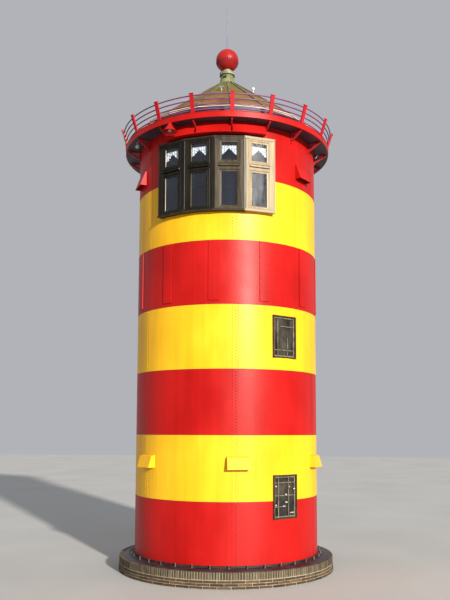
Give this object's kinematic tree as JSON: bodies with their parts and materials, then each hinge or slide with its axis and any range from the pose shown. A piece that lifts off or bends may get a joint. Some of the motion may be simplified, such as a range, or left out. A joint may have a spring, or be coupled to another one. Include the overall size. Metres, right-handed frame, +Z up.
{
  "type": "lighthouse",
  "caption": "Squat cylindrical lighthouse of riveted iron plates in red and yellow bands, on a round brick plinth, with a bay window, a gallery under a low faceted roof and a ball with a rod.",
  "frame": {"origin": "on the ground, on the tower's vertical axis, at the foot of the brick plinth", "axes": "+Z up along the tower's axis; the bay window faces -Y, with +X to its right as seen from outside"},
  "size_m": [4.5206, 4.467, 11.977],
  "materials": {
    "plinth_brick": "fired brick with pale mortar",
    "bitumen": "glossy dark coating",
    "dark_iron": "dark satin paint",
    "floor_concrete": "trowelled",
    "red_paint": "semi-gloss, slightly chalked",
    "yellow_paint": "semi-gloss, slightly chalked",
    "stair_window_steel": "worn brown-grey paint",
    "glass": "clear",
    "floor_boards": "oiled boards",
    "bay_wood": "dark olive-brown gloss paint",
    "rod_brass": "satin",
    "curtain_lace": "white cotton lace",
    "rail_blue": "blue-violet gloss paint",
    "eaves_paint": "pale paint",
    "roof_sheet": "ochre to olive-green weathered sheet",
    "neck_green": "pale green paint",
    "pale_paint": "off-white paint",
    "rod_steel": "galvanised",
    "globe_white": "gloss white"
  },
  "bodies": {
    "root": {"plinth_bricks": "plinth_brick", "plinth_upright_bricks": "plinth_brick", "plinth_cover": "bitumen", "base_flange": "dark_iron", "ground_floor": "floor_concrete", "wall_course_1": "red_paint", "wall_course_2": "yellow_paint", "wall_course_3": "red_paint", "wall_course_4": "yellow_paint", "wall_course_5": "red_paint", "wall_course_6": "yellow_paint", "wall_course_7": "red_paint", "seam_straps": "red_paint", "lower_vent_hoods": "yellow_paint", "upper_vent_hoods": "red_paint", "lower_stair_window": "stair_window_steel", "upper_stair_window": "stair_window_steel", "stair_window_glass": "glass", "watch_room_floor": "floor_boards", "bay_sill": "bay_wood", "bay_head": "bay_wood", "bay_cheeks": "bay_wood", "bay_frame_1": "bay_wood", "bay_frame_2": "bay_wood", "bay_frame_3": "bay_wood", "bay_frame_4": "bay_wood", "bay_glass": "glass", "curtain_rods": "rod_brass", "curtains": "curtain_lace", "bay_hood": "red_paint", "gallery_deck": "dark_iron", "gallery_rim": "red_paint", "gallery_brackets": "red_paint", "railing_posts": "red_paint", "gallery_rails": "rail_blue", "roof_curb": "dark_iron", "eaves_board": "eaves_paint", "roof_shell": "roof_sheet", "roof_hip_ribs": "roof_sheet", "roof_neck": "neck_green", "ball_seat": "pale_paint", "ball_ventilator": "red_paint", "lightning_rod": "rod_steel", "roof_vent_pipe": "pale_paint", "roof_globe": "globe_white", "lamp_shade": "red_paint", "lamp_arm": "red_paint"}
  },
  "joints": []
}
